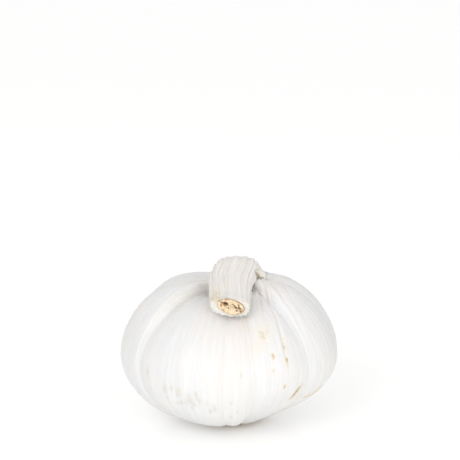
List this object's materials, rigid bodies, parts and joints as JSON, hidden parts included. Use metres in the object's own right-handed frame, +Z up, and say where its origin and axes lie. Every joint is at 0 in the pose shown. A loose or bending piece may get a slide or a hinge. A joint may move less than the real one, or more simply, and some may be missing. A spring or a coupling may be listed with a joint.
{
  "type": "garlic bulb",
  "caption": "Whole garlic bulb, swollen cloves under a white papery skin, with the dry neck folded forward over them and cut short, standing on its trimmed root plate.",
  "frame": {"origin": "middle of the root plate's flat face, which the bulb rests on", "axes": "+Z up, -Y the front, towards which the neck is folded, +X to the right seen from the front"},
  "size_m": [0.0596, 0.0587, 0.0467],
  "materials": {
    "skin": "dry papery skin, smooth and slightly glossy",
    "dry_stalk": "dry cut stalk, matt",
    "dry_root": "dry trimmed roots, matt"
  },
  "bodies": {
    "root": {"bulb": "skin", "stalk_core": "dry_stalk", "root_plate": "dry_root"}
  },
  "joints": []
}
